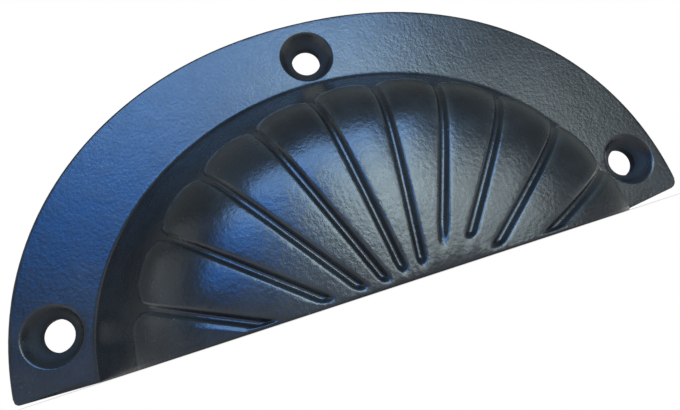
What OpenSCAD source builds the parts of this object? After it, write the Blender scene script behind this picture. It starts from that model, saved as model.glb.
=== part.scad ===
// Cup pull in the form of a fan, one iron casting: a half-oval plate with three countersunk screw holes
// and a hollow hood of raised petals parted by grooves, open below for the fingers and open at the back.
// Millimetres. The origin lies midway between the two lower holes on the back of the plate, and the hood
// faces -y. The formulas count heights from the mouth, and the whole part is then set down by hole_low_z.

/* [Plate] */
// Width of the plate over its two tips
plate_w = 106; // [90:0.5:130]
// Height of the plate above the mouth
plate_h = 45.6; // [40:0.1:56]
// How full the outline of the plate is, 2 for a plain oval
plate_full = 2.12; // [2:0.02:2.4]
// Thickness of the plate
plate_t = 3.2; // [2.4:0.1:5]
// Radius round the front edge of the plate
plate_edge_r = 0.4; // [0.2:0.1:0.9]
// Rise of each tip above the mouth
tip_rise = 0.9; // [0.1:0.1:2]
// Radius of each tip's corner
tip_r = 1.3; // [0.5:0.1:2]

/* [Screw holes] */
// Distance of each lower hole from the tip beside it, across the plate
hole_in = 6.65; // [6.3:0.05:7.1]
// Height of the lower holes above the mouth
hole_low_z = 8; // [6.5:0.1:10]
// Distance of the top hole from the top of the plate
hole_top_in = 6.2; // [5.2:0.1:6.4]
// Diameter of each hole
hole_d = 4.7; // [3:0.1:6]
// Diameter of each countersink at the front of the plate
sink_d = 8.6; // [6.5:0.1:8.9]
// Whole angle of each countersink
sink_angle = 90; // [80:1:110]

/* [Hood] */
// Width of the plate beside the hood, at the mouth
flange_w = 11.25; // [10.9:0.05:15]
// Height of the plate above the hood
flange_h = 11.1; // [10.9:0.1:15]
// Stand-out of the hood from the front of the plate, without its petals
hood_out = 20; // [15:0.5:26]
// Slope of the hood's side, 0 for a side that is square to the plate
side_slope = 35; // [22:1:42]
// How far the front of the hood falls back from its middle to its shoulder
front_fall = 1.5; // [0.2:0.1:4]
// How tight the hood's shoulder is
shoulder = 5.6; // [3:0.1:9]
// Thickness of the hood's wall in the grooves
wall = 2.6; // [1.8:0.1:4]
// Radius of the fillet between hood and plate
fillet_r = 0.8; // [0.4:0.1:0.9]
// Draft of the hollow through the plate, in degrees
draft = 5; // [0:0.5:10]

/* [Petals] */
// Number of petals
petals = 11; // [7:2:13]
// Depth below the mouth of the point that the grooves run to
fan_drop = 7.5; // [6.5:0.1:10]
// Rise of the petals over the grooves and over the foot of the hood
petal_rise = 0.65; // [0.3:0.05:1]
// How much a petal's crest stands over its edges
petal_crest = 0.2; // [0:0.05:0.4]
// How far below the front of the hood the petals end
petal_drop = 6.4; // [6:0.1:12]
// How much higher a petal ends at its rounded corners
petal_corner = 2.6; // [1:0.1:3.2]
// Width of a groove at the top
groove_w = 1.2; // [1:0.1:2]
// Width of a groove's floor
groove_floor_w = 0.4; // [0.2:0.1:0.8]
// Height above the mouth where the middle grooves end
groove_gap = 2.5; // [2:0.1:6]

/* [Hidden] */
iron = [0.07, 0.075, 0.08];
$fn = 48;

// Places of the holes
hole_span = plate_w - 2 * hole_in;
hole_top_z = plate_h - hole_top_in;

// Half widths, the share of the half width by which the side leans in, and the oval at the top of the fillet
plate_a = plate_w / 2;
hood_a = plate_a - flange_w;
hood_h = plate_h - flange_h;
lean = tan(side_slope) * hood_out / hood_a;
foot = 1 - lean * fillet_r / hood_out;
foot_a = hood_a * foot;
foot_b = hood_h * foot;

// The fan: the angle of one petal, the half width of a groove with its rounded lips, the last groove's angle
petal_angle = 2 * atan(foot_a / fan_drop) / petals;
groove_reach = 0.75 * groove_w;
last_groove = (petals / 2 - 1) * petal_angle;
// inside this radius the grooves narrow with the petals
narrow_r = 1.4 * groove_reach / (petal_angle / 2 * PI / 180);

// The end petals run in columns from a pivot in the mouth, next to the last groove
side_steps = 8;
last_mouth = fan_drop / cos(last_groove);
pivot = fan_drop * tan(last_groove + groove_reach / max(last_mouth, narrow_r) * 180 / PI);
side_gap = 1.25 * groove_reach + 0.12 * groove_w / cos(last_groove);

// A column of the skin: [start of its ray in x, angle of the ray, shift from it in mm, share of the petals'
// rise, share of the rounded corner]. Rays start at the fan's point, or at a pivot
side = [for (k = [1:side_steps])
    [pivot, last_groove + (90 - last_groove) * k / side_steps, 0, 1, k == 1 ? 0.08 : 0]];
right_side = side;
left_side = [for (k = [side_steps - 1:-1:0]) [-pivot, -side[k][1], 0, 1, side[k][4]]];
groove_columns = [[-groove_reach, 1, 0.34], [-groove_w / 2, 0.86, 1], [-groove_floor_w / 2, 0, 1],
    [groove_floor_w / 2, 0, 1], [groove_w / 2, 0.86, 1], [groove_reach, 1, 0.34]];
function groove_at(k) = [for (c = groove_columns) [0, (k - petals / 2) * petal_angle, c[0], c[1], c[2]]];
function petal_at(k) = [for (v = [-0.8, -0.42, 0, 0.42, 0.8])
    [0, (k - petals / 2 + 0.5 + v / 2) * petal_angle, -v * groove_reach, 1, abs(v) > 0.6 ? 0.08 : 0]];
columns = concat(left_side,
    [for (k = [1:petals - 1]) for (c = concat(groove_at(k), k < petals - 1 ? petal_at(k) : [])) c],
    right_side);
last = len(columns) - 1;

// Along a ray from its start: distance to the mouth, to the round end of a groove and to an oval of the hood
function to_mouth(o, a) = o == 0 ? fan_drop / cos(a) : 0;
function groove_end(o, a, d) =
    let (z = max(groove_gap * cos(1.25 * a), 1.25 * groove_reach * cos(a) + 0.12 * groove_w),
        bend = groove_reach - sqrt(max(0, groove_reach * groove_reach - d * d)))
    o == 0 ? (z + fan_drop) / cos(a) + 0.6 * bend : side_gap;
function to_oval(o, a, s) =
    let (x = o / hood_a, z = (o == 0 ? -fan_drop : 0) / hood_h, dx = sin(a) / hood_a, dz = cos(a) / hood_h,
        qa = dx * dx + dz * dz, qb = x * dx + z * dz, qc = x * x + z * z - s * s)
    (-qb + sqrt(max(0, qb * qb - qa * qc))) / qa;

// Rows of the hood: the mouth (0), the ramp and the end of a groove (1, 2), the front and the shoulder up to
// the petals' rounded ends (petal_rows), the step down from them and the foot of the hood (hood_rows)
petal_rows = 12;
hood_rows = petal_rows + 7;
petal_end = hood_out - petal_drop;
step_at = [0, 0.3 * petal_rise, 0.74 * petal_rise];
step_share = [1, 0.86, 0];
function row_at(i, o, a, d, corner) =
    let (mouth = to_mouth(o, a), end = groove_end(o, a, d), ramp = min(0.4 * groove_w, 0.5 * (end - mouth)),
        edge = to_oval(o, a, 1 - lean * (petal_end + petal_corner * corner) / hood_out),
        low = edge + step_at[2], k = i - petal_rows)
    i == 0 ? mouth : i == 1 ? end - ramp
        : k <= 0 ? end + (edge - end) * (1 - pow(1 - (i - 2) / (petal_rows - 2), 1.6))
        : k <= 2 ? edge + step_at[k] : low + (to_oval(o, a, foot) - low) * (k - 2) / 5;
function row_share(i) = i <= petal_rows ? 1 : i <= petal_rows + 2 ? step_share[i - petal_rows] : 0;

// The plain hood: a share of its oval, its crown over the plate as a share of hood_out, and the crown's slope
function share(x, z) = max(0.000001, norm([x / hood_a, z / hood_h]));
function side_up(q) = max(0.0001, (1 - q) / lean);
function front_up(q) = 1 - front_fall / hood_out * q * q;
function crown(q) = q >= 1 ? 0 : pow(pow(side_up(q), -shoulder) + pow(front_up(q), -shoulder), -1 / shoulder);
function fall_off(q) =
    pow(crown(q), shoulder + 1) * (pow(side_up(q), -shoulder - 1) / lean
        + pow(front_up(q), -shoulder - 1) * 2 * front_fall / hood_out * q);

// A point of the skin, raised from the plain hood along its normal
function on_hood(x, z, rise) =
    let (q = share(x, z), k = hood_out * fall_off(q) / q,
        g = [k * x / hood_a / hood_a, -1, k * z / hood_h / hood_h])
    [x, -plate_t - hood_out * crown(q), z] + rise * g / norm(g);
function ray_angle(c, i) =
    c[1] + c[2] / max(row_at(i, c[0], c[1], c[2], c[4]), narrow_r) * 180 / PI;
function plain_point(c, i) =
    let (a = ray_angle(c, i), r = row_at(i, c[0], a, c[2], c[4]))
    [c[0] + r * sin(a), i == 0 || c[0] != 0 ? (c[0] != 0 ? r * cos(a) : 0) : r * cos(a) - fan_drop];
function crest_fall(c, i) =
    let (u = ray_angle(c, i) / petal_angle + petals / 2, t = c[0] != 0 ? 0 : u - floor(u) - 0.5)
    petal_crest * 4 * t * t * share(plain_point(c, i)[0], plain_point(c, i)[1]);
function outer_point(c, i) =
    let (p = plain_point(c, i), lift = row_share(i) * (i < 2 ? 1 : c[3]))
    on_hood(p[0], p[1], lift * (petal_rise - crest_fall(c, i)));

// Lower edge of the plate, and its outline set in by inset, with e from -1 to 1 along it
function low_z(x) = tip_rise * max(0, abs(x) - foot_a) / (plate_a - foot_a);
function full_oval(a, b, turn) = [a * pow(sin(turn), 2 / plate_full), b * pow(cos(turn), 2 / plate_full)];
function turn_at(z, b) = acos(pow(z / b, plate_full / 2));
function outline(e, inset) =
    let (a = plate_a - inset, b = plate_h - inset, r = max(0.08 * tip_r, tip_r - inset),
        end = turn_at(tip_rise, b), bend = turn_at(tip_rise + r, b) / end,
        tip = full_oval(a, b, end), low = [tip[0] - r, low_z(tip[0] - r)],
        t = (abs(e) - bend) / (1 - bend),
        p = abs(e) <= bend ? full_oval(a, b, abs(e) * end)
            : (1 - t) * (1 - t) * full_oval(a, b, bend * end) + 2 * t * (1 - t) * tip + t * t * low)
    [sign(e) * p[0], p[1]];
// where a column meets the outline: beside its foot, and closer and closer towards the tips
function foot_turn(c) = let (p = plain_point(c, hood_rows)) atan2(p[0] / foot_a, p[1] / foot_b) / 90;
side_turn = foot_turn(groove_at(petals - 1)[5]);
function along(c) =
    let (v = (abs(c[1]) - last_groove) / (90 - last_groove))
    c[0] == 0 ? foot_turn(c) : sign(c[0]) * (1 - (1 - side_turn) * pow(1 - v, 2.4));
function edge_point(c, turn) =
    let (p = outline(along(c), plate_edge_r * (1 - cos(turn))))
    [p[0], -plate_t + plate_edge_r * (1 - sin(turn)), p[1]];
function fillet_point(c, turn) =
    let (p = plain_point(c, hood_rows), o = [p[0] / foot_a / foot_a, p[1] / foot_b / foot_b],
        q = p + o / norm(o) * fillet_r * (1 - cos(turn)))
    [q[0], -plate_t - fillet_r * (1 - sin(turn)), abs(c[1]) > 89.999 ? low_z(q[0]) : q[1]];

// The hollow follows the plain hood, one wall in from it, and flares by its draft through the plate
flare = plate_t * tan(draft);
hollow = [(hood_a - wall) / hood_a, (hood_out - wall) / hood_out, (hood_h - wall) / hood_h];
function inner_point(c, i) =
    let (p = plain_point(c, i))
    [p[0] * hollow[0], -plate_t - hood_out * crown(share(p[0], p[1])) * hollow[1], p[1] * hollow[2]];
function back_point(c) =
    let (p = plain_point(c, hood_rows))
    [p[0] * (hollow[0] + flare / hood_a), 0, p[1] * (hollow[2] + flare / hood_h)];

// All rows in turn: back edge, rounded front edge, fillet, hood down to the mouth, hollow, back again
inner_rows = [0, 2, 5, 8, 10, petal_rows, petal_rows + 2, petal_rows + 4, hood_rows];
rows = concat(
    [[for (c = columns) let (p = outline(along(c), 0)) [p[0], 0, p[1]]]],
    [for (turn = [0, 30, 60, 90]) [for (c = columns) edge_point(c, turn)]],
    [for (turn = [90, 60, 30]) [for (c = columns) fillet_point(c, turn)]],
    [for (i = [hood_rows:-1:0]) [for (c = columns) outer_point(c, i)]],
    [for (i = inner_rows) [for (c = columns) inner_point(c, i)]],
    [[for (c = columns) back_point(c)]]);
row_count = len(rows);
foot_row = 8;
mouth_row = foot_row + hood_rows;
hollow_foot_row = mouth_row + len(inner_rows);
points = [for (r = rows) each r];

// At the mouth the columns of each end petal run together in their pivot, outside and in the hollow
function column_of(i, j) =
    i == mouth_row || i == mouth_row + 1 ? min(last - side_steps, max(side_steps, j)) : j;
function at(i, j) = i * (last + 1) + column_of(i, j);
function whole(t) = t[0] != t[1] && t[1] != t[2] && t[0] != t[2];
// a field of the skin is split so that it bulges out, or into the hollow; a flat one is split by its side
function bulge(a, b, c, d) = cross(points[b] - points[a], points[c] - points[a]) * (points[d] - points[a]);
function split_first(i, j, out) = abs(out) < 0.00001 ? j < last / 2 : i < mouth_row ? out > 0 : out < 0;
skin = [for (i = [0:row_count - 1]) for (j = [0:last - 1])
    let (n = (i + 1) % row_count, a = at(i, j), b = at(i, j + 1), c = at(n, j + 1), d = at(n, j))
    each split_first(i, j, bulge(a, b, c, d)) ? [[a, b, c], [a, c, d]] : [[a, b, d], [b, c, d]]];
// the lower face of each end: along the mouth from the pivot to the foot, then under the wing of the plate
function outer(i) = mouth_row - i;
function inner(k) = mouth_row + 1 + k;
mouth_end = [for (k = [0:len(inner_rows) - 2])
    each concat([for (i = [inner_rows[k]:inner_rows[k + 1] - 1]) [inner(k), outer(i), outer(i + 1)]],
        [[inner(k), outer(inner_rows[k + 1]), inner(k + 1)]])];
wing_rows = concat([hollow_foot_row], [for (i = [foot_row:-1:0]) i]);
wing = [for (k = [0:len(wing_rows) - 2]) [row_count - 1, wing_rows[k], wing_rows[k + 1]]];
ends = [for (t = concat(mouth_end, wing))
    each [[at(t[0], last), at(t[1], last), at(t[2], last)], [at(t[0], 0), at(t[2], 0), at(t[1], 0)]]];

module body() {
    polyhedron(points = points, faces = [for (t = concat(skin, ends)) if (whole(t)) t], convexity = 8);
}

// A countersunk screw hole through the plate, its mouth at the front
module screw_hole(x, z) {
    depth = (sink_d - hole_d) / 2 / tan(sink_angle / 2);
    over = 0.05 * sink_d;
    translate([x, plate_t / 2, z]) {
        rotate([90, 0, 0]) {
            cylinder(d = hole_d, h = 2 * plate_t);
        }
    }
    translate([x, -plate_t + depth, z]) {
        rotate([90, 0, 0]) {
            cylinder(d1 = hole_d, d2 = sink_d + 2 * over * tan(sink_angle / 2), h = depth + over);
        }
    }
}

module cup_pull() {
    color(iron) {
        translate([0, 0, -hole_low_z]) {
            difference() {
                body();
                screw_hole(-hole_span / 2, hole_low_z);
                screw_hole(hole_span / 2, hole_low_z);
                screw_hole(0, hole_top_z);
            }
        }
    }
}

cup_pull();
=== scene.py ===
"""Cup pull in the form of a fan: one black lacquered iron casting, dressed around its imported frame."""
from __future__ import annotations

import logging
import math
from collections.abc import Iterator
from contextlib import contextmanager
from dataclasses import dataclass, field
from enum import Enum

import bpy
from mathutils import Euler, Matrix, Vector

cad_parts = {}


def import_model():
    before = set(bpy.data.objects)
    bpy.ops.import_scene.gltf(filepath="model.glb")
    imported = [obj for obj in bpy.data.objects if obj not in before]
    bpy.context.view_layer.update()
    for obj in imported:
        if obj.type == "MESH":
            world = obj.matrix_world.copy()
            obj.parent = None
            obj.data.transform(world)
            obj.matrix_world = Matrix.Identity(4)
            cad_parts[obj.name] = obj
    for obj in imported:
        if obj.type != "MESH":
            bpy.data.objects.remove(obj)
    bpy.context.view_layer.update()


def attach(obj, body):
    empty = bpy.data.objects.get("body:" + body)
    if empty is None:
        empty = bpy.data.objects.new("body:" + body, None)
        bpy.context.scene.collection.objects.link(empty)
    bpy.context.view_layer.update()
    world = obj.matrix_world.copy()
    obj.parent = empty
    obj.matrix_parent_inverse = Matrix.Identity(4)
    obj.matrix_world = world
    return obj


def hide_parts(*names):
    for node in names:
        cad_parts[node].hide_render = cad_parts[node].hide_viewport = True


LOG = logging.getLogger("cup_pull")
MM = 0.001
NODE = "cup_pull"
BODY = "root"

# A quarter turn, and the angle past which a column lies on the lower edge, in degrees
QUARTER = 90.0
LEVEL = 89.999

# Limits that keep the hood's formulas from dividing by nothing
LEAST_SHARE = 1e-6
LEAST_SIDE = 1e-4

# Colour sockets of a Mix node
MIX_UNDER, MIX_OVER, MIX_RESULT = 6, 7, 2

# Rays to which the stage's paper is plain white
WHITE_RAYS = ("Is Camera Ray", "Is Transmission Ray", "Is Glossy Ray")

Point = tuple[float, float, float]
Pair = tuple[float, float]
Colour = tuple[float, float, float]
Rows = list[list[Vector]]


class Mark(Enum):
    """Attributes of the casting's surface that its finish reads."""

    # Lips, where rubbed lacquer and a painted highlight show
    LIP = "lip"
    BORE = "bore"


def deselect() -> None:
    """Leave edit mode and deselect every object."""
    if bpy.context.object and bpy.context.object.mode != "OBJECT":
        bpy.ops.object.mode_set(mode="OBJECT")
    bpy.ops.object.select_all(action="DESELECT")


def choose(obj: bpy.types.Object) -> None:
    """Make one object the only selected one and the active one.

    Args:
        obj: The object.
    """
    deselect()
    obj.select_set(True)
    bpy.context.view_layer.objects.active = obj


@contextmanager
def editing(obj: bpy.types.Object) -> Iterator[None]:
    """Edit a mesh, with all of it selected at the start.

    Args:
        obj: The mesh object.

    Returns:
        A context that lasts as long as the edit.
    """
    choose(obj)
    bpy.ops.object.mode_set(mode="EDIT")
    bpy.ops.mesh.select_all(action="SELECT")
    yield
    bpy.ops.object.mode_set(mode="OBJECT")


def apply_modifier(obj: bpy.types.Object, kind: str, **settings: object) -> None:
    """Add a modifier with its settings and apply it.

    Args:
        obj: The object that takes the modifier.
        kind: Blender's type of the modifier.
        settings: Values of the modifier's own properties.
    """
    choose(obj)
    modifier = obj.modifiers.new(kind.lower(), kind)
    for name, value in settings.items():
        setattr(modifier, name, value)
    bpy.ops.object.modifier_apply(modifier=modifier.name)


def bend_point(start: Pair, corner: Pair, end: Pair, t: float) -> Pair:
    """Point of a soft bend that leads past a corner.

    Args:
        start: Where the bend starts.
        corner: The corner that it passes.
        end: Where it ends.
        t: How far along it the point is, from 0 to 1.

    Returns:
        The point.
    """
    weights = ((1 - t) ** 2, 2 * t * (1 - t), t * t)
    across, up = (sum(w * p[n] for w, p in zip(weights, (start, corner, end))) for n in (0, 1))
    return across, up


def rounded(corners: list[Pair], steps: int) -> list[Pair]:
    """Round a polyline: it starts and ends in its end points and bends softly past the corners between.

    Args:
        corners: The polyline's points.
        steps: How many parts each bend has.

    Returns:
        The points of the rounded line.
    """
    line = [corners[0]]
    for before, corner, after in zip(corners, corners[1:], corners[2:]):
        start = ((before[0] + corner[0]) / 2, (before[1] + corner[1]) / 2)
        end = ((corner[0] + after[0]) / 2, (corner[1] + after[1]) / 2)
        for k in range(steps + 1):
            point = bend_point(start, corner, end, k / steps)
            if point != line[-1]:
                line.append(point)
    return line + [corners[-1]]


@dataclass(frozen=True)
class Column:
    """A line of the skin that runs from the mouth out to the plate.

    Attributes:
        start: Where its ray starts in x: 0 for the fan's point, else a pivot on the mouth.
        angle: Angle of the ray from straight up, in degrees.
        shift: Distance from the ray, in mm.
        lift: Share of the petals' rise, 0 on a groove's floor.
        corner: Share of the rounded corner at the petal's end.
        lip: How much of a lip it is, where rubbed lacquer and a painted highlight show, from 0 to 1.
    """

    start: float
    angle: float
    shift: float = 0.0
    lift: float = 1.0
    corner: float = 0.0
    lip: float = 0.0


@dataclass
class FanCasting:
    """The whole casting: plate, screw holes, hood, petals and hollow. Sizes in mm, heights from the mouth."""

    # Plate, with sizes of the left and of the right tip
    plate_w: float = 105.9
    plate_h: float = 45.6
    plate_full: float = 2.12
    plate_t: float = 3.2
    plate_edge_r: float = 0.4
    tip_rises: Pair = (0.45, 1.4)
    tip_rs: Pair = (1.0, 1.7)
    least_tip_r: float = 0.1

    # Screw holes
    hole_span: float = 92.7
    hole_low_z: float = 8.0
    hole_top_z: float = 39.4
    hole_d: float = 4.7
    sink_d: float = 8.6
    sink_angle: float = 90.0
    sink_rim_r: float = 0.35

    # Their cutter: lead-in, rise and flare of its rim, and its reach behind the plate
    rim_lead: float = 0.5
    rim_rise: float = 0.004
    rim_flare: Pair = (0.3, 0.4)
    cut_over: float = 1.0

    # Hood and hollow
    hood_w: float = 83.5
    hood_h: float = 34.5
    hood_out: float = 20.0
    side_slope: float = 35.0
    front_fall: float = 1.5
    shoulder: float = 5.6
    wall: float = 2.6
    fillet_r: float = 0.8
    draft: float = 5.0
    mouth_r: float = 0.2

    # Petals, with the depth of the fan's point below the mouth
    petals: int = 11
    fan_drop: float = 7.5
    petal_rise: float = 0.65
    petal_crest: float = 0.42
    crest_growth: int = 3
    petal_end: float = 13.6
    petal_corner: float = 2.6

    # Distances of the columns off a petal's flank, for its round corners
    half_petal: float = 3.6
    flank_off: float = 0.2
    first_off: float = 0.3
    side_off: float = 0.55

    # Grooves, with the corner of the bank as shares of their width and of the petals' rise
    groove_w: float = 1.2
    groove_floor_w: float = 0.4
    groove_gap: float = 2.5
    bank_share: float = 0.48
    bank_lift: float = 0.9

    # Shares of a groove's width: reach of its lips, length of its run-out, margin below its end
    reach_share: float = 0.75
    run_out: float = 0.9
    end_margin: float = 0.12

    # Ends of the grooves: room in lip reaches, roundness in plan, flat past the run-out
    end_reach: float = 1.25
    end_round: float = 0.6
    end_flat: float = 0.4

    # How fast the gap closes with the turn, and the most of it that a run-out takes
    gap_turn: float = 1.25
    most_run_out: float = 0.9

    # Half a petal's width, in lip reaches, below which its columns crowd together
    narrow_reach: float = 1.4

    # Each groove's own end, from left to right: its shift up and the length of its run-out
    end_shifts: tuple[float, ...] = (0.0, 0.0, -0.4, -0.8, -0.5, -0.3, 2.6, 1.4, 0.1, 0.1)
    end_fades: tuple[float, ...] = (1.0, 1.2, 1.3, 1.3, 1.2, 1.3, 3.4, 1.1, 1.4, 1.2)

    # Corners of two profiles: up a groove's end, by share of its run-out, and down a petal's end, in mm
    end_profile: tuple[Pair, ...] = ((0.0, 0.0), (0.45, 0.0), (1.0, 1.0))
    step_profile: tuple[Pair, ...] = ((-1.0, 1.0), (-0.1, 1.0), (0.22, 0.8), (0.5, 0.0), (1.2, 0.0))

    # Lips, by share of the petals' rise, and their rubbed lacquer and painted highlight, which fade to the
    # left of an angle in degrees
    lip_lift: float = 0.93
    lip_width: float = 0.12
    groove_wear_and_highlight: float = 0.25
    least_wear_and_highlight: float = 0.3
    full_wear_and_highlight_from: float = -15.0
    wear_and_highlight_run: float = 50.0

    # How far round a bore its mark reaches
    bore_slack: float = 0.05

    # Mesh: steps, crowding of rows and columns, flat strips, welds and smoothing
    bend_steps: int = 4
    petal_steps: int = 8
    side_steps: int = 16
    front_steps: int = 18
    wall_steps: int = 9
    edge_steps: int = 5
    mouth_steps: int = 3
    hole_steps: int = 64
    row_crowding: float = 1.5
    tip_crowding: float = 2.4
    strip_w: float = 0.3
    sheet_weld: float = 0.002
    sheet_sliver: float = 0.001
    cut_weld: float = 0.003
    smooth_angle: float = 36.0
    normal_weight: int = 50
    many_corners: int = 5
    columns: list[Column] = field(init=False)

    def __post_init__(self) -> None:
        """Work out the sizes that follow from the driving ones."""
        self.plate_a = self.plate_w / 2
        self.hood_a = self.hood_w / 2
        self.lean = math.tan(math.radians(self.side_slope)) * self.hood_out / self.hood_a
        self.foot = 1 - self.lean * self.fillet_r / self.hood_out
        self.petal_share = 1 - self.lean * self.petal_end / self.hood_out
        self.foot_a = self.hood_a * self.foot
        self.foot_b = self.hood_h * self.foot
        self.petal_angle = 2 * math.degrees(math.atan(self.foot_a / self.fan_drop)) / self.petals
        self.groove_reach = self.reach_share * self.groove_w
        self.last_groove = (self.petals / 2 - 1) * self.petal_angle
        self.narrow_r = self.narrow_reach * self.groove_reach / math.radians(self.petal_angle / 2)
        last_turn = math.cos(math.radians(self.last_groove))
        spread = math.degrees(self.groove_reach / max(self.fan_drop / last_turn, self.narrow_r))
        self.pivot = (self.fan_drop + self.mouth_r) * math.tan(math.radians(self.last_groove + spread))
        self.side_gap = self.end_reach * self.groove_reach + self.end_margin * self.groove_w / last_turn
        self.flare = self.plate_t * math.tan(math.radians(self.draft))
        self.hollow = tuple(1 - self.wall / size for size in (self.hood_a, self.hood_out, self.hood_h))
        self.edge_turns = [QUARTER * k / self.edge_steps for k in range(self.edge_steps + 1)]
        self.mouth_turns = [QUARTER * k / self.mouth_steps for k in range(self.mouth_steps + 1)]
        # Rows before the hood: the back edge, the rounded edge and two strips, then the fillet
        self.plate_rows = len(self.edge_turns) + 3
        self.fillet_rows = len(self.edge_turns) - 1
        self.columns = self.make_columns()
        self.make_rows()
        self.side_turn = self.foot_turn(self.columns[-1 - self.side_steps])

    # Columns and rows of the skin

    def make_columns(self) -> list[Column]:
        """Lay the columns out from the left end of the mouth to the right one.

        Returns:
            All columns, dense over the grooves and their lips.
        """
        half = rounded([(0.0, 0.0), (self.groove_floor_w / 2, 0.0),
                        (self.bank_share * self.groove_w, self.bank_lift), (self.groove_reach, 1.0)],
                       self.bend_steps)
        profile = [(-d, lift) for d, lift in reversed(half[1:])] + half
        side = []
        for k in range(1, self.side_steps + 1):
            turn = (QUARTER - self.last_groove) * k / self.side_steps
            corner = self.corner_share(self.first_off + self.side_off * k)
            side.append(Column(self.pivot, self.last_groove + turn, corner=corner))
        columns = [Column(-c.start, -c.angle, corner=c.corner) for c in reversed(side)]
        for k in range(1, self.petals):
            angle = (k - self.petals / 2) * self.petal_angle
            for d, lift in profile:
                corner = self.corner_share(abs(d) - self.groove_floor_w / 2 - self.flank_off)
                columns.append(Column(0.0, angle, d, lift, corner, self.lip_share(lift)))
            if k == self.petals - 1:
                break
            for n in range(1, self.petal_steps):
                v = 2 * n / self.petal_steps - 1
                corner = self.corner_share((1 - abs(v)) * self.half_petal + self.first_off)
                turned = angle + (v + 1) / 2 * self.petal_angle
                columns.append(Column(0.0, turned, -v * self.groove_reach, corner=corner))
        return columns + side

    def corner_share(self, off: float) -> float:
        """Share of a petal's round corner at a distance off its flank, in mm."""
        reach = max(0.0, 1 - max(0.0, off) / self.petal_corner)
        return 1 - math.sqrt(1 - reach * reach)

    def lip_share(self, lift: float) -> float:
        """How much a share of the rise lies on the lip, where lacquer wears thin and a highlight is painted.
        """
        return max(0.0, 1 - abs(lift - self.lip_lift) / self.lip_width)

    def make_rows(self) -> None:
        """Lay the rows out: shares of the way up a groove's end, along the petal and down its end."""
        self.end_rows = rounded([*self.end_profile, (1.0 + self.end_flat, 1.0)], self.bend_steps)
        self.step_rows = rounded(list(self.step_profile), self.bend_steps)
        self.petal_row = len(self.end_rows) + self.front_steps
        self.hood_rows = self.petal_row + len(self.step_rows) - 1 + self.wall_steps

    def to_mouth(self, start: float, angle: float) -> float:
        """Distance along a ray to the rounded edge of the mouth."""
        return (self.fan_drop + self.mouth_r) / math.cos(math.radians(angle)) if start == 0 else 0.0

    def between(self, values: tuple[float, ...], angle: float) -> float:
        """Value of the grooves at an angle, blended between neighbours.

        Args:
            values: One value for each groove, from left to right.
            angle: The angle in degrees.

        Returns:
            The blended value.
        """
        u = min(max(angle / self.petal_angle + self.petals / 2, 1.0), self.petals - 1.0)
        k = min(int(u), self.petals - 2)
        return values[k - 1] + (values[k] - values[k - 1]) * (u - k)

    def groove_end(self, column: Column, angle: float) -> float:
        """Distance along a ray to the end of a groove, which is round in plan.

        Args:
            column: The column that runs along the ray.
            angle: The angle at which it runs there, in degrees.

        Returns:
            The distance in mm.
        """
        if column.start != 0:
            return self.side_gap
        turn, reach = math.radians(angle), self.groove_reach
        least = self.end_reach * reach * math.cos(turn) + self.end_margin * self.groove_w
        z = max(self.groove_gap * math.cos(self.gap_turn * turn), least)
        z += self.between(self.end_shifts, column.angle)
        inside = max(0.0, reach ** 2 - min(abs(column.shift), reach) ** 2)
        return (z + self.fan_drop) / math.cos(turn) + self.end_round * (reach - math.sqrt(inside))

    def to_oval(self, start: float, angle: float, share: float) -> float:
        """Distance along a ray to an oval on the hood.

        Args:
            start: Where the ray starts in x.
            angle: Its angle in degrees.
            share: Size of the oval, 1 for the hood's own.

        Returns:
            The distance in mm.
        """
        low = self.mouth_r if start != 0 else -self.fan_drop
        x, z = start / self.hood_a, low / self.hood_h
        dx, dz = math.sin(math.radians(angle)) / self.hood_a, math.cos(math.radians(angle)) / self.hood_h
        qa, qb, qc = dx * dx + dz * dz, x * dx + z * dz, x * x + z * z - share * share
        return (-qb + math.sqrt(max(0.0, qb * qb - qa * qc))) / qa

    def row_at(self, i: int, column: Column, angle: float) -> float:
        """Distance along a ray to a row.

        Args:
            i: The row, 0 at the mouth.
            column: The column that the point is on.
            angle: The angle at which the column runs there.

        Returns:
            The distance in mm.
        """
        start = column.start
        mouth, end = self.to_mouth(start, angle), self.groove_end(column, angle)
        longer = self.between(self.end_fades, column.angle) if start == 0 else 1.0
        ramp = min(self.run_out * self.groove_w * longer, self.most_run_out * (end - mouth))
        if i < len(self.end_rows):
            return mouth if i == 0 else end - ramp + ramp * self.end_rows[i][0]
        first = end + self.end_flat * ramp
        up = 1 - self.lean * (self.petal_end + self.petal_corner * column.corner) / self.hood_out
        edge = self.to_oval(start, angle, up)
        if i < self.petal_row:
            t = (i - len(self.end_rows) + 1) / (self.front_steps + 1)
            return first + (edge + self.step_rows[0][0] - first) * (1 - (1 - t) ** self.row_crowding)
        k = i - self.petal_row
        if k < len(self.step_rows):
            return edge + self.step_rows[k][0]
        low = edge + self.step_rows[-1][0]
        down = k - len(self.step_rows) + 1
        return low + (self.to_oval(start, angle, self.foot) - low) * down / self.wall_steps

    def row_lift(self, i: int) -> Pair:
        """Relief of a row.

        Args:
            i: The row, 0 at the mouth.

        Returns:
            Shares of the petals' rise and of the grooves' depth there.
        """
        depth = self.end_rows[i][1] if i < len(self.end_rows) else 1.0
        k = i - self.petal_row
        return (1.0 if k < 0 else self.step_rows[k][1] if k < len(self.step_rows) else 0.0), depth

    # The plain hood

    def share(self, x: float, z: float) -> float:
        """Share of the hood's oval at a place."""
        return max(LEAST_SHARE, math.hypot(x / self.hood_a, z / self.hood_h))

    def crown(self, q: float) -> Pair:
        """Height of the plain hood over the plate.

        Args:
            q: Share of the hood's oval.

        Returns:
            The height as a share of the hood's stand-out, and how fast it falls there.
        """
        if q >= 1:
            return 0.0, 0.0
        side, s = max(LEAST_SIDE, (1 - q) / self.lean), self.shoulder
        front = 1 - self.front_fall / self.hood_out * q * q
        up = (side ** -s + front ** -s) ** (-1 / s)
        fall = up ** (s + 1) * (side ** (-s - 1) / self.lean
                                + front ** (-s - 1) * 2 * self.front_fall / self.hood_out * q)
        return up, fall

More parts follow.
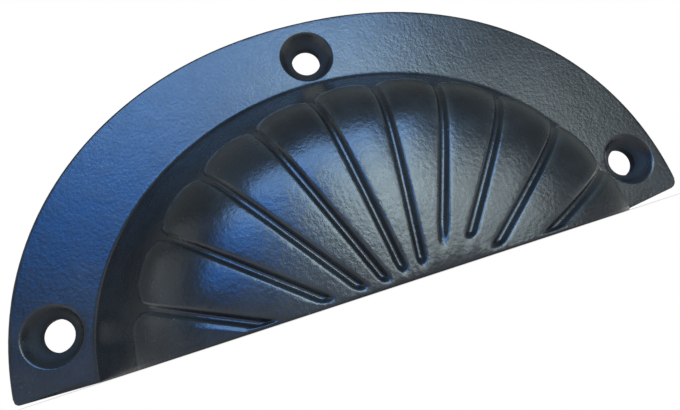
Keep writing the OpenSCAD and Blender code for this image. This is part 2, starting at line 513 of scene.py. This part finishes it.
    def outward(self, x: float, z: float) -> Vector:
        """Normal of the plain hood.

        Args:
            x: Place across.
            z: Height above the mouth.

        Returns:
            The normal, of length 1.
        """
        q = self.share(x, z)
        k = self.hood_out * self.crown(q)[1] / q
        return Vector((k * x / self.hood_a ** 2, -1.0, k * z / self.hood_h ** 2)).normalized()

    def plan_point(self, column: Column, i: int) -> Point:
        """Place of a row's point on a column.

        Args:
            column: The column.
            i: The row.

        Returns:
            Its x, its height above the mouth and the angle of the column there.
        """
        straight = self.row_at(i, column, column.angle)
        angle = column.angle + math.degrees(column.shift / max(straight, self.narrow_r))
        r, turn = self.row_at(i, column, angle), math.radians(angle)
        if column.start != 0:
            return column.start + r * math.sin(turn), self.mouth_r + r * math.cos(turn), angle
        return r * math.sin(turn), self.mouth_r if i == 0 else r * math.cos(turn) - self.fan_drop, angle

    def outer_point(self, column: Column, i: int) -> Vector:
        """Point of the hood's outside.

        Args:
            column: The column.
            i: The row.

        Returns:
            The point on the petal or in the groove.
        """
        x, z, angle = self.plan_point(column, i)
        q = self.share(x, z)
        t = 0.0 if column.start != 0 else (angle / self.petal_angle + self.petals / 2) % 1 - 0.5
        rise, depth = self.row_lift(i)
        crest = self.petal_crest * 4 * t * t * min(1.0, q / self.petal_share) ** self.crest_growth
        lift = rise * (1 - depth * (1 - column.lift)) * (self.petal_rise - crest)
        return Vector((x, -self.plate_t - self.hood_out * self.crown(q)[0], z)) + lift * self.outward(x, z)

    def inner_point(self, column: Column, i: int) -> Vector:
        """Point of the hollow, one wall in from the plain hood.

        Args:
            column: The column.
            i: The row.

        Returns:
            The point.
        """
        x, z, _ = self.plan_point(column, i)
        y = -self.plate_t - self.hood_out * self.crown(self.share(x, z))[0] * self.hollow[1]
        low = self.mouth_r
        return Vector((x * self.hollow[0], y, low + (z - low) * self.hollow[2]))

    def back_point(self, column: Column) -> Vector:
        """Point of the hollow's edge on the back of the plate.

        Args:
            column: The column that ends there.

        Returns:
            The point.
        """
        x, z, _ = self.plan_point(column, self.hood_rows)
        return Vector((x * (self.hollow[0] + self.flare / self.hood_a), 0.0,
                       (z - self.mouth_r) * (self.hollow[2] + self.flare / self.hood_h)))

    # The plate

    @staticmethod
    def tip(x: float) -> int:
        """Which tip a place belongs to: 0 for the left one, 1 for the right one."""
        return int(x > 0)

    def round_share(self, x: float) -> float:
        """Share of the mouth's rounding on the lower edge: all of it at the hood, none at the tips."""
        end = self.plate_a - self.tip_rs[self.tip(x)]
        return min(1.0, max(0.0, (end - abs(x)) / (end - self.foot_a)))

    def low_z(self, x: float) -> float:
        """Height of the plate's lower front edge."""
        rise = self.tip_rises[self.tip(x)] * max(0.0, abs(x) - self.foot_a) / (self.plate_a - self.foot_a)
        return rise + self.mouth_r * self.round_share(x)

    def full_oval(self, a: float, b: float, turn: float) -> Pair:
        """Point of an oval that is as full as the plate's."""
        return a * math.sin(turn) ** (2 / self.plate_full), b * math.cos(turn) ** (2 / self.plate_full)

    def turn_at(self, z: float, b: float) -> float:
        """Turn at which such an oval reaches a height."""
        return math.acos((z / b) ** (self.plate_full / 2))

    def outline(self, e: float, inset: float) -> Pair:
        """Point of the plate's outline, set in from it.

        Args:
            e: Place along it, from -1 at the left tip to 1 at the right one.
            inset: How far it is set in, in mm.

        Returns:
            Its x and its height.
        """
        a, b = self.plate_a - inset, self.plate_h - inset
        r = max(self.least_tip_r, self.tip_rs[self.tip(e)] - inset)
        rise = self.tip_rises[self.tip(e)]
        end = self.turn_at(rise, b)
        bend = self.turn_at(rise + r, b) / end
        tip_x = self.full_oval(a, b, end)[0]
        if abs(e) <= bend:
            x, z = self.full_oval(a, b, abs(e) * end)
        else:
            low = self.low_z(math.copysign(tip_x - r, e))
            t = (abs(e) - bend) / (1 - bend)
            x, z = bend_point(self.full_oval(a, b, bend * end), (tip_x, rise), (tip_x - r, low), t)
        return math.copysign(x, e), z

    def foot_turn(self, column: Column) -> float:
        """Place along the outline that lies beside a column's foot."""
        x, z, _ = self.plan_point(column, self.hood_rows)
        return math.degrees(math.atan2(x / self.foot_a, z / self.foot_b)) / QUARTER

    def along(self, column: Column) -> float:
        """Place where a column meets the outline, closer and closer towards the tips.

        Args:
            column: The column.

        Returns:
            The place, from -1 at the left tip to 1 at the right one.
        """
        if column.start == 0:
            return self.foot_turn(column)
        v = (abs(column.angle) - self.last_groove) / (QUARTER - self.last_groove)
        return math.copysign(1 - (1 - self.side_turn) * (1 - v) ** self.tip_crowding, column.start)

    def edge_point(self, column: Column, turn: float, extra: float = 0.0) -> Vector:
        """Point of the rounded front edge of the plate, or of the flat just inside it.

        Args:
            column: The column.
            turn: Turn round the edge, in degrees, 0 at the plate's side.
            extra: How far inside the edge the point is, in mm.

        Returns:
            The point.
        """
        bend = math.radians(turn)
        x, z = self.outline(self.along(column), self.plate_edge_r * (1 - math.cos(bend)) + extra)
        return Vector((x, -self.plate_t + self.plate_edge_r * (1 - math.sin(bend)), z))

    def fillet_point(self, column: Column, turn: float, extra: float = 0.0) -> Vector:
        """Point of the fillet between hood and plate, or of the flat just outside it.

        Args:
            column: The column.
            turn: Turn round the fillet, in degrees, 0 at the hood's foot.
            extra: How far outside the fillet the point is, in mm.

        Returns:
            The point.
        """
        x, z, _ = self.plan_point(column, self.hood_rows)
        away = Vector((x / self.foot_a ** 2, z / self.foot_b ** 2)).normalized()
        bend = math.radians(turn)
        reach = self.fillet_r * (1 - math.cos(bend)) + extra
        x, z = x + away.x * reach, z + away.y * reach
        if abs(column.angle) > LEVEL:
            z = self.low_z(x)
        return Vector((x, -self.plate_t - self.fillet_r * (1 - math.sin(bend)), z))

    # Sheets of the mesh

    def skin_rows(self) -> Rows:
        """Rows of the outside.

        Returns:
            The rows, from the back edge of the plate over the hood to the mouth.
        """
        cols = self.columns
        rows = [[Vector((p[0], 0.0, p[1])) for p in (self.outline(self.along(c), 0.0) for c in cols)]]
        rows += [[self.edge_point(c, turn) for c in cols] for turn in self.edge_turns]
        rows.append([self.edge_point(c, QUARTER, self.strip_w) for c in cols])
        rows.append([self.fillet_point(c, QUARTER, self.strip_w) for c in cols])
        rows += [[self.fillet_point(c, turn) for c in cols] for turn in reversed(self.edge_turns[1:])]
        return rows + [[self.outer_point(c, i) for c in cols] for i in range(self.hood_rows, -1, -1)]

    def hollow_rows(self) -> Rows:
        """Rows of the hollow, from the mouth to its edge on the back of the plate."""
        rows = [[self.inner_point(c, i) for c in self.columns] for i in range(self.hood_rows + 1)]
        return rows + [[self.back_point(c) for c in self.columns]]

    def border(self, rows: Rows) -> list[Vector]:
        """Lower border of a sheet: up its left column, along the mouth, out along its right column.

        Args:
            rows: The sheet's rows, the mouth last.

        Returns:
            The points in order, the pivots once.
        """
        left, right = [r[0] for r in rows[:-1]], [r[-1] for r in reversed(rows[:-1])]
        return left + rows[-1][self.side_steps - 1:len(self.columns) - self.side_steps + 1] + right

    def into_plate(self, outer: list[Vector]) -> list[Vector]:
        """Level directions from the outer border into the iron.

        Args:
            outer: The border's points.

        Returns:
            For each point the direction: straight back on the plate, into the wall on the hood.
        """
        back = Vector((0.0, 1.0, 0.0))
        level = []
        for n, p in enumerate(outer):
            k = min(n, len(outer) - 1 - n)
            wall = -self.outward(p.x, max(p.z, self.mouth_r))
            wall = Vector((wall.x, wall.y, 0.0)).normalized()
            t = min(1.0, max(0.0, (k - self.plate_rows + 1) / (self.fillet_rows + 1)))
            level.append((back * (1 - t) + wall * t).normalized())
        return level

    def into_wall(self, inner: list[Vector]) -> list[Vector]:
        """Level directions from the hollow's border into the iron.

        Args:
            inner: The border's points.

        Returns:
            For each point the direction.
        """
        walls = [self.outward(p.x / self.hollow[0], max(p.z, self.mouth_r)) for p in inner]
        return [Vector((wall.x, wall.y, 0.0)).normalized() for wall in walls]

    def rounding(self, line: list[Vector], inward: list[Vector], radii: list[float]) -> Rows:
        """Rounded edge below a border.

        Args:
            line: The border's points.
            inward: For each point the level direction into the iron.
            radii: For each point the radius of the edge, 0 where it is sharp.

        Returns:
            Rows from the border down to the lower face.
        """
        rows = []
        for turn in self.mouth_turns:
            bend = math.radians(turn)
            drop = Vector((0.0, 0.0, -math.sin(bend)))
            rows.append([p + (n * (1 - math.cos(bend)) + drop) * r for p, n, r in zip(line, inward, radii)])
        return rows

    def sheets(self) -> dict[str, Rows]:
        """All sheets of the body, which meet in shared borders.

        Returns:
            Rows of points for each sheet by name.
        """
        skin, hollow = self.skin_rows(), self.hollow_rows()
        outer, inner = self.border(skin), self.border(list(reversed(hollow)))
        outer_radii = [self.mouth_r * self.round_share(p.x) for p in outer]
        inner_radii = [0.0] + [self.mouth_r] * (len(inner) - 2) + [0.0]
        outside = self.rounding(outer, self.into_plate(outer), outer_radii)
        inside = self.rounding(inner, self.into_wall(inner), inner_radii)
        skip = self.plate_rows + self.fillet_rows
        lower = [outside[-1][skip:len(outer) - skip], inside[-1][1:-1]]
        return {"skin": skin, "hollow": hollow, "outer_edge": outside, "inner_edge": inside, "lower": lower,
                "back": [hollow[-1], skin[0]]}

    def add_sheet(self, name: str, rows: Rows) -> bpy.types.Object:
        """Add a grid and lay its points on the casting's form.

        Args:
            name: Name of the sheet.
            rows: Its points, row by row, in mm above the mouth.

        Returns:
            The new mesh object.
        """
        deselect()
        across, up = len(rows[0]) - 1, len(rows) - 1
        bpy.ops.mesh.primitive_grid_add(x_subdivisions=across, y_subdivisions=up, size=1.0)
        sheet = bpy.context.object
        sheet.name = name
        flat = [v for row in rows for p in row for v in (p.x * MM, p.y * MM, (p.z - self.hole_low_z) * MM)]
        sheet.data.vertices.foreach_set("co", flat)
        return sheet

    # Marks for the finish

    def mark_lips(self, sheet: bpy.types.Object) -> None:
        """Mark the petals' lips on the skin for rubbed lacquer and a painted highlight, less and less towards
        the left.

        Args:
            sheet: The skin's mesh object.
        """
        first = self.plate_rows + self.fillet_rows
        lips = [0.0] * len(sheet.data.vertices)
        for i in range(self.hood_rows + 1):
            rise, depth = self.row_lift(i)
            end_lip = self.lip_share(rise) if rise < 1 else 0.0
            for j, column in enumerate(self.columns):
                n = (first + self.hood_rows - i) * len(self.columns) + j
                # Painted highlight: lips lighter on the right, fading towards the left
                wear_and_highlight = 1 + (column.angle - self.full_wear_and_highlight_from) / self.wear_and_highlight_run
                wear_and_highlight = min(1.0, max(self.least_wear_and_highlight, wear_and_highlight))
                lips[n] = wear_and_highlight * max(end_lip * column.lift, self.groove_wear_and_highlight * column.lip * depth * rise)
        self.add_mark(sheet, Mark.LIP, lips)

    def mark_bores(self, body: bpy.types.Object) -> None:
        """Mark the bores behind the countersinks, where the lacquer is thin and dull.

        Args:
            body: The casting's mesh object.
        """
        values = [0.0] * len(body.data.vertices)
        for n, vertex in enumerate(body.data.vertices):
            for x, z in self.holes():
                off = math.hypot(vertex.co.x / MM - x, vertex.co.z / MM + self.hole_low_z - z)
                if off < self.hole_d / 2 + self.bore_slack:
                    values[n] = 1.0
        self.add_mark(body, Mark.BORE, values)

    @staticmethod
    def add_mark(sheet: bpy.types.Object, mark: Mark, values: list[float]) -> None:
        """Write one mark's values to the points of a mesh."""
        layer = sheet.data.attributes.new(mark.value, "FLOAT", "POINT")
        layer.data.foreach_set("value", values)

    # Screw holes

    def holes(self) -> tuple[Pair, ...]:
        """Places of the three screw holes, across and above the mouth."""
        half = self.hole_span / 2
        return (-half, self.hole_low_z), (half, self.hole_low_z), (0.0, self.hole_top_z)

    def cutter_profile(self) -> list[Pair]:
        """Profile of the tool that sinks a screw hole.

        Returns:
            Radius and depth of each point, from behind the plate through the countersink to its soft rim.
        """
        slope = math.tan(math.radians(self.sink_angle / 2))
        depth = (self.sink_d - self.hole_d) / 2 / slope
        front, r = -self.plate_t, self.sink_d / 2
        rim_r = r + self.sink_rim_r
        rim = rounded([(r - self.rim_lead, front + self.rim_lead / slope), (r, front),
                       (rim_r, front - self.rim_rise),
                       (rim_r + self.rim_flare[0], front - self.rim_flare[1])], self.bend_steps)
        return [(self.hole_d / 2, self.cut_over), (self.hole_d / 2, front + depth)] + rim

    def add_cutter(self, x: float, z: float) -> bpy.types.Object:
        """Add the tool that sinks one screw hole.

        Args:
            x: The hole's place across.
            z: Its height above the mouth.

        Returns:
            The cutter's object.
        """
        profile = self.cutter_profile()
        up = (z - self.hole_low_z) * MM
        deselect()
        bpy.ops.mesh.primitive_circle_add(vertices=self.hole_steps, radius=profile[0][0] * MM,
                                          fill_type="NGON", location=(0.0, 0.0, 0.0),
                                          rotation=(math.radians(QUARTER), 0.0, 0.0))
        cutter = bpy.context.object
        bpy.ops.object.transform_apply(location=False, rotation=True, scale=False)
        with editing(cutter):
            bpy.ops.transform.translate(value=(x * MM, profile[0][1] * MM, up))
            for before, after in zip(profile, profile[1:]):
                move = (0.0, (after[1] - before[1]) * MM, 0.0)
                bpy.ops.mesh.extrude_region_move(TRANSFORM_OT_translate={"value": move})
                scale = after[0] / before[0]
                centre = (x * MM, after[1] * MM, up)
                bpy.ops.transform.resize(value=(scale, 1.0, scale), center_override=centre)
            bpy.ops.mesh.select_all(action="SELECT")
            bpy.ops.mesh.normals_make_consistent(inside=False)
        return cutter

    # The finished piece

    def join_sheets(self) -> bpy.types.Object:
        """Join the sheets to one closed body.

        Returns:
            The body's mesh object, without its screw holes.
        """
        parts = {name: self.add_sheet(name, rows) for name, rows in self.sheets().items()}
        body = parts["skin"]
        self.mark_lips(body)
        choose(body)
        for part in parts.values():
            part.select_set(True)
        bpy.ops.object.join()
        with editing(body):
            bpy.ops.mesh.remove_doubles(threshold=self.sheet_weld * MM)
            bpy.ops.mesh.dissolve_degenerate(threshold=self.sheet_sliver * MM)
            bpy.ops.mesh.select_all(action="SELECT")
            bpy.ops.mesh.fill_holes(sides=0)
            bpy.ops.mesh.select_all(action="SELECT")
            bpy.ops.mesh.normals_make_consistent(inside=False)
        return body

    def build(self) -> bpy.types.Object:
        """Build the casting.

        Returns:
            The finished mesh object, closed and smooth.
        """
        body = self.join_sheets()
        for x, z in self.holes():
            cutter = self.add_cutter(x, z)
            apply_modifier(body, "BOOLEAN", operation="DIFFERENCE", solver="EXACT", object=cutter)
            bpy.data.objects.remove(cutter)
        with editing(body):
            bpy.ops.mesh.remove_doubles(threshold=self.cut_weld * MM)
            bpy.ops.mesh.dissolve_degenerate(threshold=self.cut_weld * MM)
        self.mark_bores(body)
        body.name = "cup_pull_casting"
        body.data.name = "cup_pull_casting"
        choose(body)
        bpy.ops.object.shade_smooth_by_angle(angle=math.radians(self.smooth_angle))
        apply_modifier(body, "WEIGHTED_NORMAL", mode="FACE_AREA", weight=self.normal_weight, keep_sharp=True)
        apply_modifier(body, "TRIANGULATE", min_vertices=self.many_corners, ngon_method="BEAUTY",
                       keep_custom_normals=True)
        return body

    @staticmethod
    def dress(body: bpy.types.Object, finish: Lacquer) -> None:
        """Give the casting its one finish."""
        body.data.materials.clear()
        body.data.materials.append(finish.material())


@dataclass(frozen=True)
class Grain:
    """A noise in the finish: its grains to the metre, its levels of detail and their weight."""

    scale: float
    detail: float
    roughness: float


@dataclass(frozen=True)
class Lacquer:
    """Satin black lacquer over a fine sand-cast skin, rubbed on the lips with a highlight painted there, and
    dusty in places.
    """

    # Colours
    deep: Colour = (0.008, 0.0081, 0.0080)
    pale: Colour = (0.018, 0.0182, 0.0172)
    # Lighter colour of the lips: rubbed lacquer and a painted edge highlight
    wear_and_highlight: Colour = (0.16, 0.16, 0.13)
    dust: Colour = (0.17, 0.17, 0.15)

    # Noises
    cloud_grain: Grain = Grain(90.0, 4.0, 0.6)
    sand_grain: Grain = Grain(520.0, 3.0, 0.55)
    peel_grain: Grain = Grain(1900.0, 2.0, 0.5)
    grit_grain: Grain = Grain(4180.0, 1.0, 0.5)

    # Limits between which a noise shows, and the most that it covers
    cloud_limits: Pair = (0.35, 0.68)
    wear_and_highlight_limits: Pair = (0.25, 0.65)
    wear_and_highlight_most: float = 0.75
    speck_limits: Pair = (0.74, 0.79)
    dusty_limits: Pair = (0.50, 0.62)
    dusty_most: float = 0.7

    # Gloss, and height in metres and strength of the two bumps
    roughness: Pair = (0.22, 0.34)
    bore_roughness: float = 0.95
    sand_bump: Pair = (0.00008, 0.42)
    peel_bump: Pair = (0.00007, 0.5)

    def material(self) -> bpy.types.Material:
        """Make the lacquer's material.

        Returns:
            A material of noise, masks of lips and bores, and bump.
        """
        mat = bpy.data.materials.new("black_lacquer")
        mat.use_nodes = True
        tree = mat.node_tree
        shader = tree.nodes["Principled BSDF"]
        place = tree.nodes.new("ShaderNodeTexCoord").outputs["Object"]
        clouds = self.noise(tree, place, self.cloud_grain)
        sand = self.noise(tree, place, self.sand_grain)
        peel = self.noise(tree, place, self.peel_grain)
        grit = self.noise(tree, place, self.grit_grain)
        tree.links.new(self.colour(tree, clouds, sand, grit), shader.inputs["Base Color"])
        tree.links.new(self.gloss(tree, sand), shader.inputs["Roughness"])
        low = self.bump(tree, sand, self.sand_bump, None)
        tree.links.new(self.bump(tree, peel, self.peel_bump, low), shader.inputs["Normal"])
        return mat

    def colour(self, tree: bpy.types.NodeTree, clouds: bpy.types.NodeSocket, sand: bpy.types.NodeSocket,
               grit: bpy.types.NodeSocket) -> bpy.types.NodeSocket:
        """Mix the lacquer's colour: clouded black, lips lighter with rubbed lacquer and a painted highlight,
        and specks of dust.

        Args:
            tree: The material's nodes.
            clouds: Noise of the clouds.
            sand: Noise of the sand-cast skin.
            grit: Noise of the specks.

        Returns:
            The colour.
        """
        black = self.mix(tree, self.ramp(tree, clouds, self.cloud_limits), self.deep, self.pale)
        # Lips lighter in noisy patches: rubbed lacquer and a painted highlight
        thin = self.ramp(tree, sand, self.wear_and_highlight_limits, self.wear_and_highlight_most)
        lip_wear_and_highlight = self.times(tree, self.attribute(tree, Mark.LIP), thin)
        dusty = self.ramp(tree, clouds, self.dusty_limits, self.dusty_most)
        specks = self.times(tree, self.ramp(tree, grit, self.speck_limits), dusty)
        return self.mix(tree, specks, self.mix(tree, lip_wear_and_highlight, black, self.wear_and_highlight), self.dust)

    def gloss(self, tree: bpy.types.NodeTree, sand: bpy.types.NodeSocket) -> bpy.types.NodeSocket:
        """Vary the roughness with the sand-cast skin and make the bores dull.

        Args:
            tree: The material's nodes.
            sand: Noise of the sand-cast skin.

        Returns:
            The roughness.
        """
        rough = tree.nodes.new("ShaderNodeMapRange")
        rough.inputs["To Min"].default_value, rough.inputs["To Max"].default_value = self.roughness
        tree.links.new(sand, rough.inputs["Value"])
        dull = tree.nodes.new("ShaderNodeMix")
        dull.inputs["B"].default_value = self.bore_roughness
        tree.links.new(self.attribute(tree, Mark.BORE), dull.inputs["Factor"])
        tree.links.new(rough.outputs["Result"], dull.inputs["A"])
        return dull.outputs["Result"]

    @staticmethod
    def attribute(tree: bpy.types.NodeTree, mark: Mark) -> bpy.types.NodeSocket:
        """Read one of the casting's marks.

        Args:
            tree: The material's nodes.
            mark: The mark.

        Returns:
            Its value over the surface.
        """
        node = tree.nodes.new("ShaderNodeAttribute")
        node.attribute_name = mark.value
        return node.outputs["Fac"]

    @staticmethod
    def times(tree: bpy.types.NodeTree, first: bpy.types.NodeSocket,
              second: bpy.types.NodeSocket) -> bpy.types.NodeSocket:
        """Multiply two values.

        Args:
            tree: The material's nodes.
            first: One value.
            second: The other value.

        Returns:
            Their product.
        """
        node = tree.nodes.new("ShaderNodeMath")
        node.operation = "MULTIPLY"
        tree.links.new(first, node.inputs[0])
        tree.links.new(second, node.inputs[1])
        return node.outputs[0]

    @staticmethod
    def noise(tree: bpy.types.NodeTree, place: bpy.types.NodeSocket, grain: Grain) -> bpy.types.NodeSocket:
        """Add a noise.

        Args:
            tree: The material's nodes.
            place: Coordinates on the casting.
            grain: The noise's grain.

        Returns:
            The noise's value.
        """
        node = tree.nodes.new("ShaderNodeTexNoise")
        node.inputs["Scale"].default_value = grain.scale
        node.inputs["Detail"].default_value = grain.detail
        node.inputs["Roughness"].default_value = grain.roughness
        tree.links.new(place, node.inputs["Vector"])
        return node.outputs["Fac"]

    @staticmethod
    def ramp(tree: bpy.types.NodeTree, value: bpy.types.NodeSocket, limits: Pair,
             most: float = 1.0) -> bpy.types.NodeSocket:
        """Stretch a value softly between two limits.

        Args:
            tree: The material's nodes.
            value: The value.
            limits: Where it starts to show and where it shows fully.
            most: The most that it may reach.

        Returns:
            The stretched value, from 0 to the most.
        """
        node = tree.nodes.new("ShaderNodeMapRange")
        node.interpolation_type = "SMOOTHSTEP"
        node.inputs["From Min"].default_value, node.inputs["From Max"].default_value = limits
        node.inputs["To Max"].default_value = most
        tree.links.new(value, node.inputs["Value"])
        return node.outputs["Result"]

    @staticmethod
    def mix(tree: bpy.types.NodeTree, share: bpy.types.NodeSocket, under: Colour | bpy.types.NodeSocket,
            over: Colour) -> bpy.types.NodeSocket:
        """Mix a colour over another one.

        Args:
            tree: The material's nodes.
            share: How much of the upper colour shows.
            under: The lower colour, plain or from other nodes.
            over: The upper colour.

        Returns:
            The mixed colour.
        """
        node = tree.nodes.new("ShaderNodeMix")
        node.data_type = "RGBA"
        tree.links.new(share, node.inputs["Factor"])
        if isinstance(under, bpy.types.NodeSocket):
            tree.links.new(under, node.inputs[MIX_UNDER])
        else:
            node.inputs[MIX_UNDER].default_value = (*under, 1.0)
        node.inputs[MIX_OVER].default_value = (*over, 1.0)
        return node.outputs[MIX_RESULT]

    @staticmethod
    def bump(tree: bpy.types.NodeTree, height: bpy.types.NodeSocket, size: Pair,
             under: bpy.types.NodeSocket | None) -> bpy.types.NodeSocket:
        """Add a bump, over another one if there is one.

        Args:
            tree: The material's nodes.
            height: The bump's noise.
            size: Its height in metres and its strength.
            under: Normal of the bump under it.

        Returns:
            The bumped normal.
        """
        node = tree.nodes.new("ShaderNodeBump")
        node.inputs["Distance"].default_value, node.inputs["Strength"].default_value = size
        tree.links.new(height, node.inputs["Height"])
        if under is not None:
            tree.links.new(under, node.inputs["Normal"])
        return node.outputs["Normal"]


@dataclass(frozen=True)
class Paper:
    """Paper of the stage: white where it is seen or mirrored, and pale grey to all other light."""

    name: str
    shaded: bool
    grey: Colour = (0.8, 0.8, 0.8)
    white: Colour = (1.0, 1.0, 1.0)
    roughness: float = 0.9

    # Shade beside what stands on it: its reach and where it fades out, in metres
    shade_reach: float = 0.025
    shade_samples: int = 8
    shade_fade: Pair = (0.10, 0.15)

    def material(self) -> bpy.types.Material:
        """Make the paper's material.

        Returns:
            A material that glows white to the rays that see it.
        """
        mat = bpy.data.materials.new(self.name)
        mat.use_nodes = True
        tree = mat.node_tree
        plain = tree.nodes["Principled BSDF"]
        plain.inputs["Base Color"].default_value = (*self.grey, 1.0)
        plain.inputs["Roughness"].default_value = self.roughness
        glow = tree.nodes.new("ShaderNodeEmission")
        if self.shaded:
            tree.links.new(self.shade(tree), glow.inputs["Color"])
        both = tree.nodes.new("ShaderNodeMixShader")
        tree.links.new(self.seen(tree), both.inputs["Fac"])
        tree.links.new(plain.outputs["BSDF"], both.inputs[1])
        tree.links.new(glow.outputs["Emission"], both.inputs[2])
        tree.links.new(both.outputs["Shader"], tree.nodes["Material Output"].inputs["Surface"])
        return mat

    def shade(self, tree: bpy.types.NodeTree) -> bpy.types.NodeSocket:
        """Shade the paper near what stands on its middle.

        Args:
            tree: The material's nodes.

        Returns:
            The shaded white.
        """
        near = tree.nodes.new("ShaderNodeAmbientOcclusion")
        near.samples = self.shade_samples
        near.inputs["Distance"].default_value = self.shade_reach
        away = tree.nodes.new("ShaderNodeVectorMath")
        away.operation = "LENGTH"
        tree.links.new(tree.nodes.new("ShaderNodeTexCoord").outputs["Object"], away.inputs[0])
        far = tree.nodes.new("ShaderNodeMapRange")
        far.inputs["From Min"].default_value, far.inputs["From Max"].default_value = self.shade_fade
        tree.links.new(away.outputs["Value"], far.inputs["Value"])
        fade = tree.nodes.new("ShaderNodeMix")
        fade.data_type = "RGBA"
        tree.links.new(far.outputs["Result"], fade.inputs["Factor"])
        tree.links.new(near.outputs["Color"], fade.inputs[MIX_UNDER])
        fade.inputs[MIX_OVER].default_value = (*self.white, 1.0)
        return fade.outputs[MIX_RESULT]

    @staticmethod
    def seen(tree: bpy.types.NodeTree) -> bpy.types.NodeSocket:
        """Tell the rays that see the paper from those that only light it.

        Args:
            tree: The material's nodes.

        Returns:
            1 for a ray that sees the paper, 0 for any other.
        """
        path = tree.nodes.new("ShaderNodeLightPath")
        seen = path.outputs[WHITE_RAYS[0]]
        for ray in WHITE_RAYS[1:]:
            either = tree.nodes.new("ShaderNodeMath")
            either.operation = "MAXIMUM"
            tree.links.new(seen, either.inputs[0])
            tree.links.new(path.outputs[ray], either.inputs[1])
            seen = either.outputs[0]
        return seen


@dataclass(frozen=True)
class Softbox:
    """A soft studio lamp. Places and sizes in metres."""

    name: str
    place: Point
    size: Pair
    watts: float
    colour: Colour
    aim: Point = (0.0, -0.01, 0.01)

    def build(self) -> None:
        """Hang the lamp and turn it to its aim."""
        lamp = bpy.data.lights.new(self.name, "AREA")
        lamp.shape = "RECTANGLE"
        lamp.size, lamp.size_y = self.size
        lamp.energy, lamp.color = self.watts, self.colour
        obj = bpy.data.objects.new(self.name, lamp)
        bpy.context.scene.collection.objects.link(obj)
        obj.location = self.place
        obj.rotation_euler = (Vector(self.aim) - Vector(self.place)).to_track_quat("-Z", "Y").to_euler()


@dataclass(frozen=True)
class PhotoCamera:
    """Camera at the photograph's viewing angle: place in metres, turn in degrees, lens and sensor in mm."""

    place: Point = (-0.015205, -0.081205, -0.007858)
    turn: Point = (100.6424, 17.8118, -6.0531)
    lens: float = 27.683
    sensor: float = 36.0
    nearest: float = 0.001
    frame: tuple[int, int] = (680, 410)

    def euler(self) -> Euler:
        """Turn of the camera."""
        return Euler([math.radians(a) for a in self.turn], "XYZ")

    def build(self) -> None:
        """Set the camera up."""
        data = bpy.data.cameras.new("photo_camera")
        data.sensor_width, data.lens, data.clip_start = self.sensor, self.lens, self.nearest
        obj = bpy.data.objects.new("photo_camera", data)
        bpy.context.scene.collection.objects.link(obj)
        obj.location = self.place
        obj.rotation_euler = self.euler()
        bpy.context.scene.camera = obj


@dataclass
class Studio:
    """White floor and backdrop, a dim room and soft lamps. Sizes in metres."""

    camera: PhotoCamera
    floor_z: float = -0.00802
    floor_size: Pair = (8.0, 8.0)
    backdrop_away: float = 0.8
    backdrop_margin: float = 1.04
    room: Colour = (0.20, 0.215, 0.20)
    lamps: tuple[Softbox, ...] = (
        Softbox("soft_blue", (-0.166, -0.542, 0.195), (0.26, 0.17), 1.06, (0.01, 0.25, 1.0)),
        Softbox("soft_sky", (0.010, -0.502, 0.327), (0.42, 0.17), 2.65, (0.24, 0.50, 1.0)),
        Softbox("soft_white", (0.128, -0.556, 0.185), (0.17, 0.17), 1.02, (0.705, 0.93, 1.0)),
        Softbox("soft_low", (0.240, -0.541, 0.066), (0.29, 0.20), 1.08, (0.82, 0.96, 0.98)),
        Softbox("soft_left", (-0.560, -0.150, 0.250), (0.50, 0.40), 0.36, (0.95, 0.98, 1.0)),
    )

    @staticmethod
    def add_sheet(name: str, place: Vector, turn: Euler, size: Pair, paper: Paper) -> None:
        """Add a sheet of paper to the stage.

        Args:
            name: Name of the sheet.
            place: Its middle.
            turn: Its turn from level.
            size: Its width and its depth.
            paper: Its finish.
        """
        deselect()
        bpy.ops.mesh.primitive_plane_add(size=1.0, location=place, rotation=turn)
        sheet = bpy.context.object
        sheet.name = name
        sheet.scale = (*size, 1.0)
        bpy.ops.object.transform_apply(location=False, rotation=False, scale=True)
        sheet.data.materials.append(paper.material())

    def build(self) -> None:
        """Lay the floor, hang the backdrop square to the camera, hang the lamps and dim the room."""
        floor = Vector((0.0, 0.0, self.floor_z))
        self.add_sheet("floor", floor, Euler(), self.floor_size, Paper("floor_paper", True))
        turn = self.camera.euler()
        middle = Vector(self.camera.place) + turn.to_matrix() @ Vector((0.0, 0.0, -self.backdrop_away))
        wide = self.backdrop_margin * self.backdrop_away * self.camera.sensor / self.camera.lens
        size = (wide, wide * self.camera.frame[1] / self.camera.frame[0])
        self.add_sheet("backdrop", middle, turn, size, Paper("backdrop_paper", False))
        world = bpy.data.worlds.new("dim_room")
        world.use_nodes = True
        world.node_tree.nodes["Background"].inputs["Color"].default_value = (*self.room, 1.0)
        bpy.context.scene.world = world
        for lamp in self.lamps:
            lamp.build()


def main() -> None:
    """Build the casting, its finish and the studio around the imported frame."""
    logging.basicConfig(level=logging.INFO, format="%(name)s: %(message)s")
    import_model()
    bpy.context.scene.view_settings.view_transform = "Standard"
    camera = PhotoCamera()
    camera.build()
    pull = FanCasting()
    casting = pull.build()
    pull.dress(casting, Lacquer())
    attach(casting, BODY)
    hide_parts(NODE)
    LOG.info("%s: %d faces", casting.name, len(casting.data.polygons))
    Studio(camera).build()
    LOG.info("studio set up")


if __name__ == "__main__":
    main()
